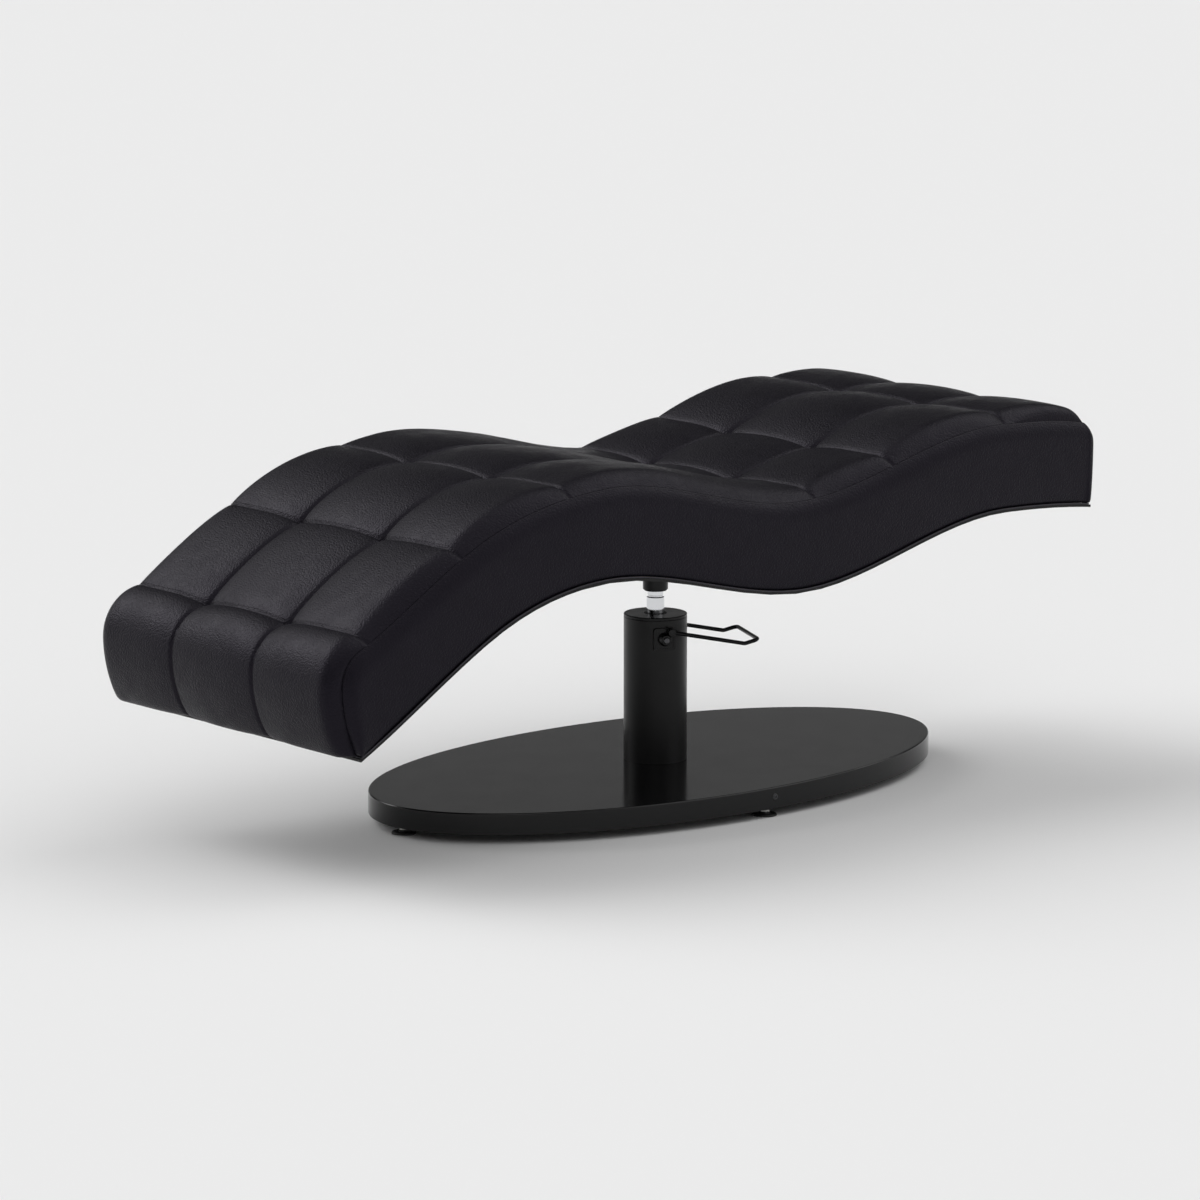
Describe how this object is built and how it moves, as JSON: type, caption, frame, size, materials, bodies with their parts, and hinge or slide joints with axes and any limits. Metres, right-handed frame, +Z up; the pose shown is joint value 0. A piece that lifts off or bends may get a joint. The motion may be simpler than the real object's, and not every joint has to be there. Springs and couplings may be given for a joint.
{
  "type": "beauty treatment bed",
  "caption": "Wave-shaped treatment bed with a tufted dark leather top on a black hydraulic column with a wire lever, standing on an oval steel base.",
  "frame": {"origin": "centre of the bounding box on the floor, on the bed's middle line; the column's axis stands at X = 127.3 mm", "axes": "+X along the bed to the head end, +Z up, -Y is the side that the lever points to"},
  "size_m": [1.9226, 0.75, 0.7392],
  "materials": {
    "leather": "fine grain, soft sheen",
    "piping": "smooth",
    "base_paint": "glossy black powder coat",
    "column_paint": "satin black powder coat",
    "chrome": "polished",
    "steel": "machined",
    "zinc": "zinc plated",
    "bronze": "machined",
    "rubber": "matte",
    "birch": "raw",
    "foam": "open cell"
  },
  "bodies": {
    "base": {"base_cover": "base_paint", "base_plate": "column_paint", "rim_blocks": "steel", "rim_screws": "zinc", "cover_posts": "steel", "lock_nuts": "zinc", "pump_flange": "steel", "flange_bolts": "zinc", "column_tube": "column_paint", "column_cap": "column_paint", "wiper_seal": "rubber", "cylinder_head": "steel", "guide_bush": "bronze", "pressure_tube": "steel", "reservoir_tube": "steel", "pump_block": "steel", "check_balls": "chrome", "valve_plugs": "zinc", "escutcheons": "column_paint", "shaft_bushes": "bronze", "return_spring": "steel"},
    "foot_head": {"pad_head": "rubber", "stud_head": "zinc"},
    "foot_foot": {"pad_foot": "rubber", "stud_foot": "zinc"},
    "foot_near": {"pad_near": "rubber", "stud_near": "zinc"},
    "foot_far": {"pad_far": "rubber", "stud_far": "zinc"},
    "lever": {"lever_wire": "column_paint", "lever_hubs": "column_paint", "hub_screws": "zinc", "stub_shafts": "steel", "yoke": "steel"},
    "plunger_rod": {"plunger": "chrome", "spring_collar": "steel"},
    "piston": {"piston_head": "steel", "piston_seal": "rubber", "thrust_bearing": "bronze"},
    "bed": {"ram": "chrome", "ram_socket": "column_paint", "ram_bolt": "zinc", "seat_plate": "steel", "plate_bolts": "zinc", "tee_nuts": "zinc", "mounting_block": "birch", "bottom_shell": "column_paint", "rib_near": "birch", "rib_far": "birch", "cross_boards": "birch", "deck_board": "birch", "foam_core": "foam", "side_band": "leather", "quilted_top": "leather", "edge_piping": "piping"}
  },
  "joints": [
    {"name": "lift", "type": "slide", "parent": "base", "child": "piston", "axis": [0, 0, 1], "range_m": [0, 0.15]},
    {"name": "swivel", "type": "hinge", "parent": "piston", "child": "bed", "pos_m": [0.12731, 0, 0.2], "axis": [0, 0, 1], "continuous": true},
    {"name": "pump_lever", "type": "hinge", "parent": "base", "child": "lever", "pos_m": [0.12731, 0, 0.31], "axis": [-0.4147, -0.91, 0], "range_deg": [-20, 0], "stiffness_Nm_per_rad": 4, "springref_deg": 20.05},
    {"name": "plunger_stroke", "type": "slide", "parent": "base", "child": "plunger_rod", "axis": [0, 0, 1], "range_m": [-0.018, 0], "deforming": ["return_spring"]},
    {"name": "level_head", "type": "slide", "parent": "base", "child": "foot_head", "axis": [0, 0, -1], "range_m": [0, 0.012]},
    {"name": "level_foot", "type": "slide", "parent": "base", "child": "foot_foot", "axis": [0, 0, -1], "range_m": [0, 0.012]},
    {"name": "level_near", "type": "slide", "parent": "base", "child": "foot_near", "axis": [0, 0, -1], "range_m": [0, 0.012]},
    {"name": "level_far", "type": "slide", "parent": "base", "child": "foot_far", "axis": [0, 0, -1], "range_m": [0, 0.012]}
  ],
  "couplings": [
    {"joint": "plunger_stroke", "follows": "pump_lever", "m_per_rad": 0.0515}
  ]
}
